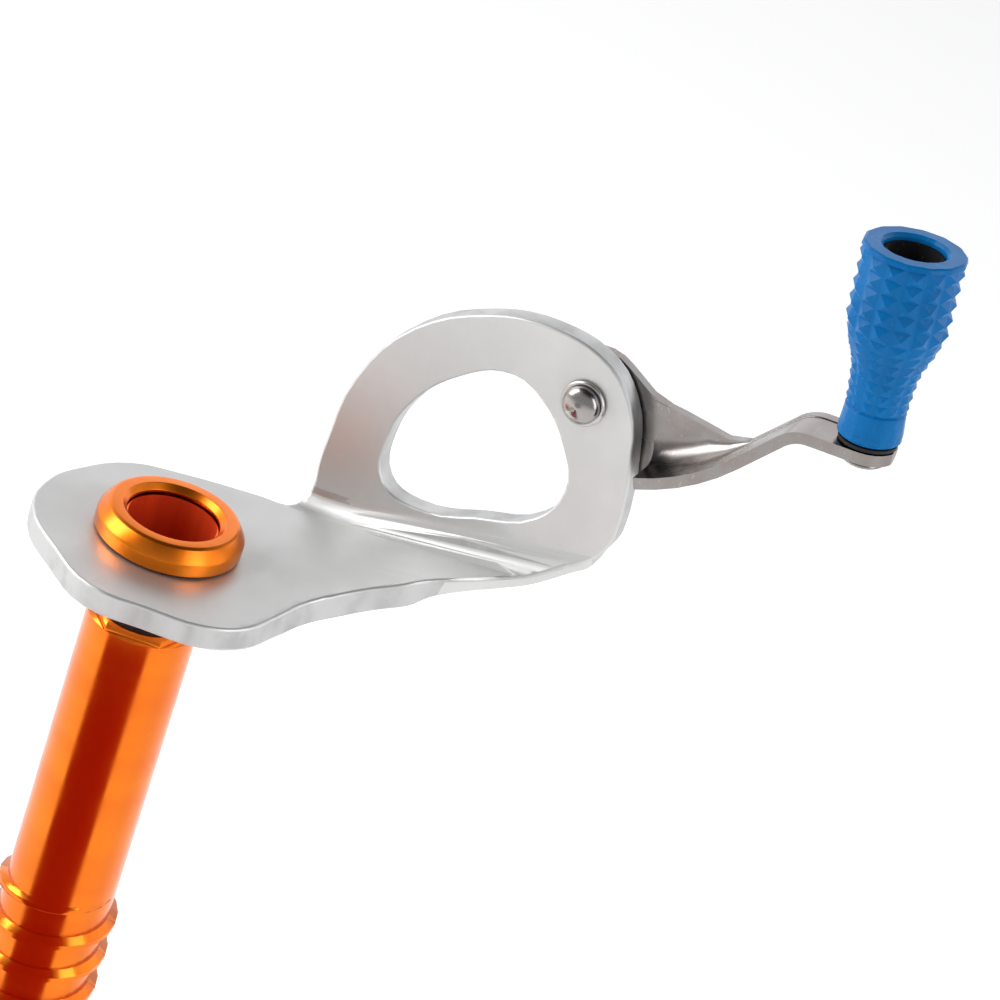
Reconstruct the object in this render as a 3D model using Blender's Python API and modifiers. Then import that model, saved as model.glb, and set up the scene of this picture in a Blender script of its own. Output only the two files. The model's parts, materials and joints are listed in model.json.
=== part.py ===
"""Ice screw with a folding crank: threaded tube, steel tip, bent hanger, crank arm and spinning knob.

Frame: metres, +Z along the tube towards the head, z = 0 on the hanger's ice side, the tube's axis
at x = y = 0. The hanger's ear stands parallel to the XZ plane and runs out towards +X; its front
face looks along -Y. The crank arm is modelled unfolded, ready to turn the screw.
"""
import math

import bmesh
import bpy
from mathutils import Matrix, Vector

MM = 0.001
GAP = 0.3 * MM

# ---- driving dimensions -------------------------------------------------------------------
TUBE_RADIUS = 8.75 * MM
BORE_RADIUS = 6.5 * MM
BORE_MOUTH = 6.95 * MM
USABLE_LENGTH = 130.0 * MM
TIP_LENGTH = 24.0 * MM
SOCKET_DEPTH = 6.0 * MM
TUBE_SEGMENTS = 40

THREAD_START = 60.0 * MM
THREAD_PITCH = 6.5 * MM
THREAD_DEPTH = 1.4 * MM
THREAD_ROOT = 2.6 * MM
THREAD_CREST = 0.8 * MM
THREAD_STEPS = 24

TOOTH_COUNT = 4
TOOTH_LENGTH = 9.0 * MM

PLATE = 4.0 * MM
PLATE_ROUNDING = 0.45 * MM

HEX_INRADIUS = TUBE_RADIUS * math.cos(math.pi / 6)
HEX_TURN = math.radians(17)
HEX_LENGTH = 10.5 * MM
GROOVE_LENGTH = 9.25 * MM
NECK_RADIUS = 7.15 * MM
COLLAR_RADIUS = 7.9 * MM

RING_RADIUS = 11.5 * MM
RING_HEIGHT = 4.35 * MM
RING_MOUTH = 7.28 * MM

EAR_FACE = 28.0 * MM
EAR_BEND = 3.4 * MM
RAMP_ANGLE = math.radians(19.5)
RAMP_SKEW = math.radians(19.8)
RAMP_START = 14.0 * MM
RAMP_BEND = 41.0 * MM
CURL_START = 35.0 * MM
CURL_EASE = 8.0 * MM
CURL_PER_MM = 0.1

PIVOT_X = 46.7 * MM
PIVOT_Z = 42.0 * MM
PIVOT_RADIUS = 2.3 * MM

ARM_THICKNESS = 1.8 * MM
ARM_EYE = 7.4 * MM
ARM_START_X = 58.95 * MM
ARM_START_Z = 36.7 * MM
ARM_TOP_Z = 45.5 * MM
ARM_FRONT = 23.5 * MM
ARM_CORNER = 3.5 * MM
ARM_CLIMB = math.radians(52)
ARM_WIDTH = 9.0 * MM
ARM_FACE = EAR_FACE + PLATE + 0.35 * MM

KNOB_LEAN = math.radians(7.0)
KNOB_LENGTH = 30.2 * MM
KNOB_BORE = 4.7 * MM
KNOB_WASHER = 0.5 * MM
AXLE_RADIUS = 2.0 * MM
GRIP_COLUMNS = 14
GRIP_CELL_SHARE = 0.86
GRIP_COLLAR = 4.9 * MM
GRIP_RIM = 1.05 * MM
GRIP_LOW_ROWS = 7
GRIP_LOW_PITCH = 1.75 * MM
GRIP_TOP_ROWS = 5


# ---- scene helpers ------------------------------------------------------------------------
def clear_scene():
    for item in list(bpy.data.objects):
        bpy.data.objects.remove(item, do_unlink=True)


def new_collection(name):
    group = bpy.data.collections.new(name)
    bpy.context.scene.collection.children.link(group)
    return group


def new_material(name, colour, roughness, metallic):
    material = bpy.data.materials.new(name)
    material.use_nodes = True
    shader = material.node_tree.nodes["Principled BSDF"]
    shader.inputs["Base Color"].default_value = (*colour, 1.0)
    shader.inputs["Roughness"].default_value = roughness
    shader.inputs["Metallic"].default_value = metallic
    return material


def add_object(name, data, group, material=None):
    item = bpy.data.objects.new(name, data)
    group.objects.link(item)
    if material is not None:
        data.materials.clear()
        data.materials.append(material)
    return item


def mesh_object(name, shape, group, material=None):
    mesh = bpy.data.meshes.new(name)
    shape.to_mesh(mesh)
    shape.free()
    item = add_object(name, mesh, group, material)
    mesh.shade_smooth()
    mesh.set_sharp_from_angle(angle=math.radians(35))
    return item


def hide_cutter(item):
    item.hide_render = True
    item.display_type = "WIRE"


def turned(name, profile, segments, group, material=None):
    """A closed profile of (radius, height) points, outer side first from top to bottom, revolved."""
    shape = bmesh.new()
    points = [shape.verts.new((radius, 0.0, height)) for radius, height in profile]
    for start, end in zip(points, points[1:] + points[:1]):
        shape.edges.new((start, end))
    item = mesh_object(name, shape, group, material)
    screw = item.modifiers.new("revolve", "SCREW")
    screw.steps = segments
    screw.render_steps = segments
    screw.use_merge_vertices = True
    screw.merge_threshold = 0.00001
    screw.use_smooth_shade = True
    return item


def boolean(item, cutter, operation="DIFFERENCE"):
    modifier = item.modifiers.new(operation.lower(), "BOOLEAN")
    modifier.operation = operation
    modifier.object = cutter
    return modifier


def baked(item, group, material=None):
    """The evaluated object as a plain mesh object; the original is removed."""
    bpy.context.view_layer.update()
    view = bpy.context.evaluated_depsgraph_get()
    mesh = bpy.data.meshes.new_from_object(item.evaluated_get(view))
    shape = bmesh.new()
    shape.from_mesh(mesh)
    bpy.data.meshes.remove(mesh)
    bmesh.ops.remove_doubles(shape, verts=shape.verts, dist=0.000002)
    bmesh.ops.transform(shape, matrix=item.matrix_world, verts=shape.verts)
    name = item.name
    bpy.data.objects.remove(item, do_unlink=True)
    return mesh_object(name, shape, group, material)


def add_spline(curve, points, smooth):
    spline = curve.splines.new("BEZIER" if smooth else "POLY")
    if smooth:
        spline.bezier_points.add(len(points) - 1)
        for knot, point in zip(spline.bezier_points, points):
            knot.co = (point[0], point[1], 0.0)
            knot.handle_left_type = "AUTO"
            knot.handle_right_type = "AUTO"
    else:
        spline.points.add(len(points) - 1)
        for knot, point in zip(spline.points, points):
            knot.co = (point[0], point[1], 0.0, 1.0)
    spline.use_cyclic_u = True


def flat_outline(name, outlines, thickness, rounding, resolution, group):
    """A filled 2D curve from (points, smooth) outlines, all counter-clockwise, outermost first."""
    curve = bpy.data.curves.new(name, "CURVE")
    curve.dimensions = "2D"
    curve.fill_mode = "BOTH"
    curve.resolution_u = resolution
    curve.extrude = thickness / 2 - rounding
    curve.bevel_depth = rounding
    curve.bevel_resolution = 1
    curve.offset = -rounding
    for order, (points, smooth) in enumerate(outlines):
        add_spline(curve, points[::-1] if order else points, smooth)
    return add_object(name, curve, group)


def circle_points(radius, count, centre=(0.0, 0.0), start=0.0):
    angles = [start + 2 * math.pi * step / count for step in range(count)]
    return [(centre[0] + radius * math.cos(a), centre[1] + radius * math.sin(a)) for a in angles]


# ---- hanger: one plate, ramped outwards and folded up into the ear -------------------------
RAMP_X = math.cos(RAMP_SKEW)
RAMP_Y = math.sin(RAMP_SKEW)


def curl(x):
    """Extra tilt of the ramp towards the ear, which grows to the right and opens the fold out."""
    reach = max(0.0, x - CURL_START)
    rate = CURL_PER_MM / MM
    if reach < CURL_EASE:
        return rate * reach ** 2 / (2 * CURL_EASE)
    return rate * (reach - CURL_EASE / 2)


def ramp_height(x, y):
    """Rise of the plate's top face at a place in plan: flat, then a soft bend, then the slope."""
    run = x * RAMP_X + y * RAMP_Y - RAMP_START
    bend_run = RAMP_BEND * math.sin(RAMP_ANGLE)
    if run <= 0.0:
        return 0.0
    if run < bend_run:
        rise = RAMP_BEND - math.sqrt(RAMP_BEND ** 2 - run ** 2)
    else:
        rise = RAMP_BEND * (1 - math.cos(RAMP_ANGLE)) + (run - bend_run) * math.tan(RAMP_ANGLE)
    return rise - curl(x) * (EAR_FACE - y)


def ear_fold(x):
    """Where the fold begins at this x: its start in y, its arc angle and the height at the corner."""
    corner = ramp_height(x, EAR_FACE)
    slope = (corner - ramp_height(x, EAR_FACE - EAR_BEND)) / EAR_BEND
    lean = math.atan(slope)
    turn = math.pi / 2 - lean
    tangent = EAR_BEND * math.tan(turn / 2)
    return EAR_FACE - tangent * math.cos(lean), lean, turn, corner + tangent


def plate_face(x, along):
    """Top face of the bent plate; along runs in y over the base, round the fold and up the ear."""
    start, lean, turn, ear_foot = ear_fold(x)
    if along <= start:
        return Vector((x, along, ramp_height(x, along)))
    arc = along - start
    if arc < EAR_BEND * turn:
        angle = lean + arc / EAR_BEND
        back = EAR_BEND * (1 - math.sin(angle))
        drop = EAR_BEND * math.cos(angle)
        return Vector((x, EAR_FACE - back, ear_foot - drop))
    return Vector((x, EAR_FACE, ear_foot + arc - EAR_BEND * turn))


def plate_point(x, along, depth):
    """A point at a depth below the top face, measured square to it."""
    nudge = 0.05 * MM
    across = plate_face(x + nudge, along) - plate_face(x - nudge, along)
    up = plate_face(x, along + nudge) - plate_face(x, along - nudge)
    normal = across.cross(up).normalized()
    return plate_face(x, along) - normal * depth + Vector((0.0, 0.0, PLATE))


def on_ear(x, z):
    """Blank coordinates of a place on the ear that is given by its x and its height z."""
    start, lean, turn, ear_foot = ear_fold(x)
    return x, start + EAR_BEND * turn + (z - PLATE) - ear_foot


def hanger_blank_outline():
    base_front = [(-21.0, -0.5), (-18.6, -9.6), (-10.0, -17.2), (-0.9, -21.9), (8.0, -20.0),
                  (16.5, -17.1), (21.1, -12.0), (22.7, -5.5), (24.4, 1.1), (27.4, 5.3),
                  (30.8, 8.6), (34.6, 11.4), (38.0, 15.2), (41.5, 19.4), (45.0, 22.8),
                  (48.4, 24.7), (52.6, 26.8), (55.4, 27.8)]
    ear = [(57.9, 21.8), (58.3, 25.5), (57.9, 30.3), (57.2, 34.5), (53.4, 45.2), (46.6, 50.2),
           (38.0, 50.8), (28.0, 47.9), (17.5, 40.3), (10.9, 28.0), (9.4, 14.0)]
    base_back = [(8.6, 26.2), (3.2, 24.0), (-8.0, 19.2), (-15.2, 14.8), (-19.6, 6.5)]
    front = [(x * MM, y * MM) for x, y in base_front]
    top = [on_ear(x * MM, z * MM) for x, z in ear]
    back = [(x * MM, y * MM) for x, y in base_back]
    return front + top + back


def carabiner_hole_outline():
    eye = [(33.0, 40.3), (27.0, 36.5), (21.4, 29.6), (18.9, 21.0), (20.4, 13.9), (26.0, 12.3),
           (36.5, 15.8), (45.6, 20.6), (48.4, 26.6), (45.9, 33.4), (39.8, 39.3)]
    return [on_ear(x * MM, z * MM) for x, z in eye]


def fold_stations():
    """Cuts across the blank so that the soft ramp bend and the fold stay round."""
    cuts = []
    for step in range(7):
        run = RAMP_START + RAMP_BEND * math.sin(RAMP_ANGLE * step / 6)
        cuts.append((Vector((RAMP_X, RAMP_Y, 0.0)), run))
    arc = EAR_BEND * math.pi / 2
    start = EAR_FACE - EAR_BEND
    for step in range(11):
        cuts.append((Vector((0.0, 1.0, 0.0)), start + arc * step / 10))
    return cuts


def make_hanger(group, material):
    hex_hole = circle_points((HEX_INRADIUS + GAP) / math.cos(math.pi / 6), 6, start=HEX_TURN)
    pivot_circle = circle_points(PIVOT_RADIUS + GAP, 24, (PIVOT_X, PIVOT_Z))
    pivot_hole = [on_ear(x, z) for x, z in pivot_circle]
    outlines = [(hanger_blank_outline(), True), (carabiner_hole_outline(), True),
                (hex_hole, False), (pivot_hole, False)]
    blank = flat_outline("hanger", outlines, PLATE, PLATE_ROUNDING, 4, group)
    item = baked(blank, group, material)
    shape = bmesh.new()
    shape.from_mesh(item.data)
    for normal, run in fold_stations():
        everything = shape.verts[:] + shape.edges[:] + shape.faces[:]
        bmesh.ops.bisect_plane(shape, geom=everything, plane_co=normal * run, plane_no=normal,
                               dist=0.000001)
    for vert in shape.verts:
        depth = PLATE / 2 - vert.co.z
        vert.co = plate_point(vert.co.x, vert.co.y, depth)
    bmesh.ops.triangulate(shape, faces=shape.faces)
    bmesh.ops.recalc_face_normals(shape, faces=shape.faces)
    shape.to_mesh(item.data)
    shape.free()
    item.data.shade_smooth()
    item.data.set_sharp_from_angle(angle=math.radians(35))
    return item


# ---- tube, tip and head -------------------------------------------------------------------
def thread_ridge(name, z_top, turns, group):
    """A right-hand helical ridge that runs down the tube and fades in and out at its ends."""
    sunk = TUBE_RADIUS - 0.5 * MM
    crest = TUBE_RADIUS + THREAD_DEPTH
    root_half = THREAD_ROOT / 2
    crest_half = THREAD_CREST / 2
    shape = bmesh.new()
    corners = [(sunk, root_half), (crest, crest_half), (crest, -crest_half), (sunk, -root_half)]
    points = [shape.verts.new((radius, 0.0, z_top + z)) for radius, z in corners]
    face = shape.faces.new(points)
    steps = round(turns * THREAD_STEPS)
    drop = Vector((0.0, 0.0, -THREAD_PITCH / THREAD_STEPS))
    bmesh.ops.spin(shape, geom=[face] + list(face.edges) + points, axis=(0, 0, 1), cent=(0, 0, 0),
                   dvec=drop, angle=-2 * math.pi * steps / THREAD_STEPS, steps=steps)
    z_bottom = z_top - turns * THREAD_PITCH
    for vert in shape.verts:
        radius = math.hypot(vert.co.x, vert.co.y)
        if radius > TUBE_RADIUS:
            centre_offset = crest_half
            reach = min(z_top - vert.co.z, vert.co.z - z_bottom) + centre_offset
            fade = min(1.0, max(0.0, reach / (THREAD_PITCH * 0.5)))
            wanted = TUBE_RADIUS - 0.3 * MM + (THREAD_DEPTH + 0.3 * MM) * fade
            vert.co.x *= wanted / radius
            vert.co.y *= wanted / radius
    bmesh.ops.recalc_face_normals(shape, faces=shape.faces)
    item = mesh_object(name, shape, group)
    hide_cutter(item)
    return item


def make_tube(group, cutters, material):
    joint = -(USABLE_LENGTH - TIP_LENGTH)
    spigot = HEX_INRADIUS - 0.1 * MM
    hex_top = PLATE - 0.4 * MM
    spigot_top = PLATE + RING_HEIGHT - 1.2 * MM
    socket = (TUBE_RADIUS + BORE_RADIUS) / 2 + GAP
    edge = 0.3 * MM
    profile = [(spigot - edge, spigot_top), (spigot, spigot_top - edge), (spigot, hex_top),
               (TUBE_RADIUS, hex_top), (TUBE_RADIUS, 0.0), (NECK_RADIUS, 0.0),
               (NECK_RADIUS, -GROOVE_LENGTH), (TUBE_RADIUS, -GROOVE_LENGTH),
               (TUBE_RADIUS, joint + edge), (TUBE_RADIUS - edge, joint), (socket, joint),
               (socket, joint + SOCKET_DEPTH), (BORE_RADIUS, joint + SOCKET_DEPTH),
               (BORE_RADIUS, -0.6 * MM), (BORE_MOUTH, 0.3 * MM), (BORE_MOUTH, spigot_top)]
    tube = turned("tube", profile, TUBE_SEGMENTS, group, material)
    sleeve_height = HEX_LENGTH + PLATE
    outlines = [(circle_points(TUBE_RADIUS + 3 * MM, 32), False),
                (circle_points(TUBE_RADIUS, 6, start=HEX_TURN), False)]
    sleeve = flat_outline("hex_flats", outlines, sleeve_height, 0.0, 1, cutters)
    sleeve.location.z = sleeve_height / 2 - HEX_LENGTH
    sleeve = baked(sleeve, cutters)
    hide_cutter(sleeve)
    boolean(tube, sleeve)
    turns = (USABLE_LENGTH - TIP_LENGTH - THREAD_START) / THREAD_PITCH - 0.3
    boolean(tube, thread_ridge("tube_thread", -THREAD_START, turns, cutters), "UNION")
    return tube


def tooth_notch(name, angle, group):
    """A wedge that leaves a steep cutting face on one side and a long sloping back on the other."""
    low = -USABLE_LENGTH
    reach = TUBE_RADIUS * math.pi / TOOTH_COUNT
    wedge = [(-reach * 0.98, low - 0.2 * MM), (-reach * 0.80, low + TOOTH_LENGTH * 0.85),
             (-reach * 0.62, low + TOOTH_LENGTH), (-reach * 0.42, low + TOOTH_LENGTH * 0.88),
             (reach * 1.02, low + 0.1 * MM), (reach * 1.02, low - 1.0 * MM),
             (-reach * 0.98, low - 1.0 * MM)]
    shape = bmesh.new()
    points = [shape.verts.new((3.0 * MM, y, z)) for y, z in wedge]
    face = shape.faces.new(points)
    grown = bmesh.ops.extrude_face_region(shape, geom=[face])
    moved = [part for part in grown["geom"] if isinstance(part, bmesh.types.BMVert)]
    bmesh.ops.translate(shape, verts=moved, vec=(TUBE_RADIUS * 1.6, 0.0, 0.0))
    bmesh.ops.rotate(shape, verts=shape.verts, cent=(0, 0, 0),
                     matrix=Matrix.Rotation(angle, 3, "Z"))
    bmesh.ops.recalc_face_normals(shape, faces=shape.faces)
    item = mesh_object(name, shape, group)
    hide_cutter(item)
    return item


def make_tip(group, cutters, material):
    joint = -(USABLE_LENGTH - TIP_LENGTH) - GAP
    spigot = (TUBE_RADIUS + BORE_RADIUS) / 2
    spigot_top = joint + SOCKET_DEPTH - GAP
    end = -USABLE_LENGTH
    bore = BORE_RADIUS - 0.2 * MM
    profile = [(spigot, spigot_top), (spigot, joint), (TUBE_RADIUS, joint),
               (TUBE_RADIUS, end + TOOTH_LENGTH * 0.6), (TUBE_RADIUS - 0.9 * MM, end),
               (bore, end), (bore, spigot_top)]
    tip = turned("cutting_tip", profile, TUBE_SEGMENTS, group, material)
    ridge_top = joint - THREAD_ROOT / 2 - 0.2 * MM
    room = ridge_top - (end + TOOTH_LENGTH + THREAD_ROOT / 2)
    boolean(tip, thread_ridge("tip_thread", ridge_top, room / THREAD_PITCH, cutters), "UNION")
    for index in range(TOOTH_COUNT):
        angle = 2 * math.pi * index / TOOTH_COUNT
        boolean(tip, tooth_notch(f"tooth_notch_{index + 1}", angle, cutters))
    return tip


def make_head_ring(group, material):
    low = PLATE + GAP
    top = PLATE + RING_HEIGHT + 0.35 * MM
    socket = HEX_INRADIUS + 0.25 * MM
    socket_top = PLATE + RING_HEIGHT - 0.9 * MM
    land = 9.75 * MM
    mouth_chamfer = 0.85 * MM
    profile = [(RING_MOUTH + mouth_chamfer, top), (land, top), (land + 0.5 * MM, top - 0.25 * MM),
               (RING_RADIUS - 0.25 * MM, top - 1.75 * MM), (RING_RADIUS, top - 2.2 * MM),
               (RING_RADIUS, low + 0.2 * MM), (RING_RADIUS - 0.2 * MM, low), (socket, low),
               (socket, socket_top), (RING_MOUTH, socket_top), (RING_MOUTH, top - mouth_chamfer)]
    return turned("head_ring", profile, 48, group, material)


def make_collar(group, material):
    inner = NECK_RADIUS + GAP
    top = -GAP
    low = -GROOVE_LENGTH + GAP
    profile = [(COLLAR_RADIUS - 0.15 * MM, top), (COLLAR_RADIUS, top - 0.15 * MM),
               (COLLAR_RADIUS, low + 0.15 * MM), (COLLAR_RADIUS - 0.15 * MM, low),
               (inner, low), (inner, top)]
    return turned("neck_collar", profile, 32, group, material)


# ---- crank pivot --------------------------------------------------------------------------
def stand_on_pivot(item):
    """Turns a piece's own z axis towards the ear's front and puts it on the crank's pivot."""
    item.rotation_euler = (math.pi / 2, 0.0, 0.0)
    item.location = (PIVOT_X, EAR_FACE, PIVOT_Z)


def make_pivot_washer(group, material):
    top = GAP + 0.5 * MM
    profile = [(3.45 * MM, top), (3.6 * MM, top - 0.15 * MM), (3.6 * MM, GAP),
               (PIVOT_RADIUS + GAP, GAP), (PIVOT_RADIUS + GAP, top)]
    washer = turned("pivot_washer", profile, 28, group, material)
    stand_on_pivot(washer)
    return washer


def make_pivot_rivet(group, material):
    dome_low = 2 * GAP + 0.5 * MM
    dome = [(0.0, 2.0), (0.55, 1.95), (0.85, 1.72), (1.7, 1.15), (2.5, 0.7), (2.95, 0.3), (3.05, 0.0)]
    back = -(PLATE + 0.35 * MM + ARM_THICKNESS)
    head = 3.6 * MM
    profile = [(radius * MM, dome_low + height * MM) for radius, height in dome]
    profile += [(PIVOT_RADIUS, dome_low), (PIVOT_RADIUS, back - GAP), (head, back - GAP),
                (head, back - GAP - 0.7 * MM), (head - 0.5 * MM, back - GAP - 1.2 * MM),
                (0.0, back - GAP - 1.3 * MM)]
    rivet = turned("pivot_rivet", profile, 28, group, material)
    stand_on_pivot(rivet)
    return rivet


# ---- crank arm: an eye behind the ear, a channel beside it, then a strip that climbs ---------
ARM_PATH = [("arc", 34.0 * MM, math.radians(24), ARM_CLIMB),
            ("line", 8.8 * MM, ARM_CLIMB, ARM_CLIMB),
            ("arc", 6.5 * MM, ARM_CLIMB, KNOB_LEAN),
            ("line", 7.46 * MM, KNOB_LEAN, KNOB_LEAN)]


def arm_path(step_arc):
    """Stations along the strip's upper face: (x, z, slope), from the ear's edge to the knob seat."""
    x, z = ARM_START_X, ARM_START_Z
    stations = [(x, z, ARM_PATH[0][2])]
    for kind, size, start, end in ARM_PATH:
        if kind == "line":
            x += size * math.cos(start)
            z += size * math.sin(start)
            stations.append((x, z, end))
            continue
        count = max(3, math.ceil(abs(end - start) / step_arc))
        turn = 1.0 if end > start else -1.0
        x0, z0 = x, z
        for index in range(1, count + 1):
            slope = start + (end - start) * index / count
            x = x0 + turn * size * (math.sin(slope) - math.sin(start))
            z = z0 - turn * size * (math.cos(slope) - math.cos(start))
            stations.append((x, z, slope))
    return stations


KNOB_SEAT_X, KNOB_SEAT_Z, _seat_slope = arm_path(math.radians(8))[-1]
KNOB_SEAT_Y = ARM_FRONT + ARM_WIDTH / 2


def arm_section(station, front, back_face, lip):
    """One closed section of the channel, square to the path: floor, rounded corner and back wall."""
    x, z, slope = station
    corner = min(ARM_CORNER, max(lip, 0.12 * MM))
    wall = max(lip - corner, 0.03 * MM)
    inner = [(front, 0.0), ((front + back_face - corner) / 2, 0.0)]
    outer = [(front, -ARM_THICKNESS), ((front + back_face - corner) / 2, -ARM_THICKNESS)]
    for index in range(7):
        angle = math.pi / 2 * index / 6
        for track, radius in ((inner, corner), (outer, corner + ARM_THICKNESS)):
            y = back_face - corner + radius * math.sin(angle)
            track.append((y, corner - radius * math.cos(angle)))
    inner.append((back_face, corner + wall))
    outer.append((back_face + ARM_THICKNESS, corner + wall))
    loop = inner + outer[::-1]
    along_up = Vector((-math.sin(slope), 0.0, math.cos(slope)))
    return [Vector((x, y, z)) + along_up * height for y, height in loop]


def arm_sections():
    sections = []
    strip_back = ARM_FRONT + ARM_WIDTH - ARM_THICKNESS
    stations = arm_path(math.radians(6))
    for x, z, slope in stations:
        lip = (ARM_TOP_Z - z) / math.cos(slope)
        blend = min(1.0, max(0.0, (x - 64 * MM) / (12 * MM)))
        blend = blend * blend * (3 - 2 * blend)
        back_face = ARM_FACE + (strip_back - ARM_FACE) * blend
        sections.append(arm_section((x, z, slope), ARM_FRONT, back_face, lip))
    half = ARM_WIDTH / 2
    x, z, slope = stations[-1]
    for angle in (18, 36, 52, 66, 78):
        reach = half * math.sin(math.radians(angle))
        width = half * math.cos(math.radians(angle))
        station = (x + reach * math.cos(slope), z + reach * math.sin(slope), slope)
        front = KNOB_SEAT_Y - width
        back_face = KNOB_SEAT_Y + max(width - ARM_THICKNESS, 0.35 * MM - width)
        sections.append(arm_section(station, front, back_face, 0.0))
    return sections


def arm_channel(group):
    shape = bmesh.new()
    rings = [[shape.verts.new(point) for point in section] for section in arm_sections()]
    for near, far in zip(rings, rings[1:]):
        for index in range(len(near)):
            after = (index + 1) % len(near)
            shape.faces.new((near[index], near[after], far[after], far[index]))
    shape.faces.new(rings[0])
    shape.faces.new(rings[-1][::-1])
    bmesh.ops.triangulate(shape, faces=shape.faces)
    bmesh.ops.recalc_face_normals(shape, faces=shape.faces)
    return mesh_object("arm_channel", shape, group)


def arm_eye_outline():
    """Round end about the pivot, with a neck that runs on into the channel's back wall."""
    eye = []
    for angle in range(60, 316, 15):
        turn = math.radians(angle)
        eye.append((PIVOT_X + ARM_EYE * math.cos(turn), PIVOT_Z + ARM_EYE * math.sin(turn)))
    neck_low = ARM_START_Z - 0.4 * MM
    neck_top = ARM_TOP_Z - 0.1 * MM
    neck = [(ARM_START_X - 4.5 * MM, neck_low - 2.6 * MM),
            (ARM_START_X - 1.0 * MM, neck_low - 0.6 * MM), (ARM_START_X + 0.5 * MM, neck_low),
            (ARM_START_X + 4.5 * MM, neck_low + 4.0 * MM), (ARM_START_X + 4.5 * MM, neck_top),
            (ARM_START_X, neck_top), (ARM_START_X - 4.0 * MM, neck_top + 0.7 * MM)]
    return eye + neck


def make_arm(group, cutters, material):
    hole = circle_points(PIVOT_RADIUS + GAP, 24, (PIVOT_X, PIVOT_Z))
    outlines = [(arm_eye_outline(), False), (hole, False)]
    eye = flat_outline("crank_arm", outlines, ARM_THICKNESS - 0.1 * MM, 0.0, 1, group)
    eye.rotation_euler = (math.pi / 2, 0.0, 0.0)
    eye.location.y = ARM_FACE + ARM_THICKNESS / 2
    arm = baked(eye, group, material)
    channel = arm_channel(cutters)
    hide_cutter(channel)
    boolean(arm, channel, "UNION")
    bore = turned("seat_bore", [(0.0, 5 * MM), (AXLE_RADIUS + GAP, 5 * MM),
                                (AXLE_RADIUS + GAP, -5 * MM), (0.0, -5 * MM)], 24, cutters)
    stand_on_seat(bore)
    hide_cutter(bore)
    boolean(arm, bore)
    return arm


# ---- knob ---------------------------------------------------------------------------------
def stand_on_seat(item):
    """Puts a piece on the strip's end, its own z axis along the knob's leaning axis."""
    item.rotation_euler = (0.0, -KNOB_LEAN, 0.0)
    item.location = (KNOB_SEAT_X, KNOB_SEAT_Y, KNOB_SEAT_Z)


KNOB_LOW = KNOB_WASHER + 2 * GAP
KNOB_STEP = 15.5 * MM


def grip_outline():
    """Closed section of the grip without its pyramids, and the heights between their rows."""
    rows = [GRIP_COLLAR + GRIP_LOW_PITCH * step for step in range(GRIP_LOW_ROWS + 1)]
    top_pitch = (KNOB_LENGTH - GRIP_RIM - rows[-1]) / GRIP_TOP_ROWS
    rows += [rows[-1] + top_pitch * step for step in range(1, GRIP_TOP_ROWS + 1)]
    radii = [4.3, 4.42, 4.57, 4.75, 5.1, 5.83, 6.55, 6.9, 6.95, 6.98, 6.98, 7.0, 7.1]
    foot = [(4.5, 0.0), (4.85, 0.35), (4.85, 1.4), (4.62, 3.9)]
    outline = [(radius * MM, height * MM) for radius, height in foot]
    outline.append((4.6 * MM, GRIP_COLLAR - 0.2 * MM))
    outline += [(radius * MM, height) for radius, height in zip(radii, rows)]
    rim = KNOB_LENGTH
    outline += [(7.8 * MM, rim - 0.8 * MM), (7.65 * MM, rim - 0.2 * MM), (7.3 * MM, rim)]
    narrow = 3.2 * MM
    outline += [(KNOB_BORE + 0.5 * MM, rim), (KNOB_BORE, rim - 0.5 * MM), (KNOB_BORE, KNOB_STEP),
                (narrow, KNOB_STEP), (narrow, 0.0)]
    return outline, rows


def make_knob_grip(group, material):
    """Fourteen columns of pyramids: wide steps carry them, narrow steps are the lands between."""
    outline, rows = grip_outline()
    shape = bmesh.new()
    chain = [shape.verts.new((radius, 0.0, KNOB_LOW + height)) for radius, height in outline]
    ring = chain + [shape.edges.new(pair) for pair in zip(chain, chain[1:] + chain[:1])]
    column = 2 * math.pi / GRIP_COLUMNS
    cells = []
    for _ in range(GRIP_COLUMNS):
        before = set(shape.faces)
        ring = bmesh.ops.spin(shape, geom=ring, axis=(0, 0, 1), cent=(0, 0, 0), steps=1,
                              angle=column * GRIP_CELL_SHARE)["geom_last"]
        cells += [face for face in shape.faces if face not in before]
        ring = bmesh.ops.spin(shape, geom=ring, axis=(0, 0, 1), cent=(0, 0, 0), steps=1,
                              angle=column * (1 - GRIP_CELL_SHARE))["geom_last"]
    bmesh.ops.remove_doubles(shape, verts=shape.verts, dist=0.000002)
    bmesh.ops.recalc_face_normals(shape, faces=shape.faces)
    for low, high in zip(rows, rows[1:]):
        middle = KNOB_LOW + (low + high) / 2
        row = [face for face in cells if face.is_valid
               and abs(face.calc_center_median().z - middle) < 0.2 * MM
               and face.calc_center_median().xy.length > 3.9 * MM]
        steepness = 0.27 if high - low < 2.0 * MM else 0.36
        bmesh.ops.poke(shape, faces=row, offset=steepness * (high - low))
    grip = mesh_object("knob_grip", shape, group, material)
    stand_on_seat(grip)
    return grip


def make_knob_liner(group, material):
    wide = KNOB_BORE - GAP
    narrow = 3.2 * MM - GAP
    step = KNOB_LOW + KNOB_STEP
    top = KNOB_LOW + KNOB_LENGTH - 0.9 * MM
    wall = 0.5 * MM
    profile = [(wide, top), (wide, step + GAP), (narrow, step + GAP), (narrow, KNOB_LOW),
               (AXLE_RADIUS + GAP, KNOB_LOW), (AXLE_RADIUS + GAP, step + 1.2 * MM),
               (wide - wall, step + 1.2 * MM), (wide - wall, top)]
    liner = turned("knob_liner", profile, 28, group, material)
    stand_on_seat(liner)
    return liner


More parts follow.
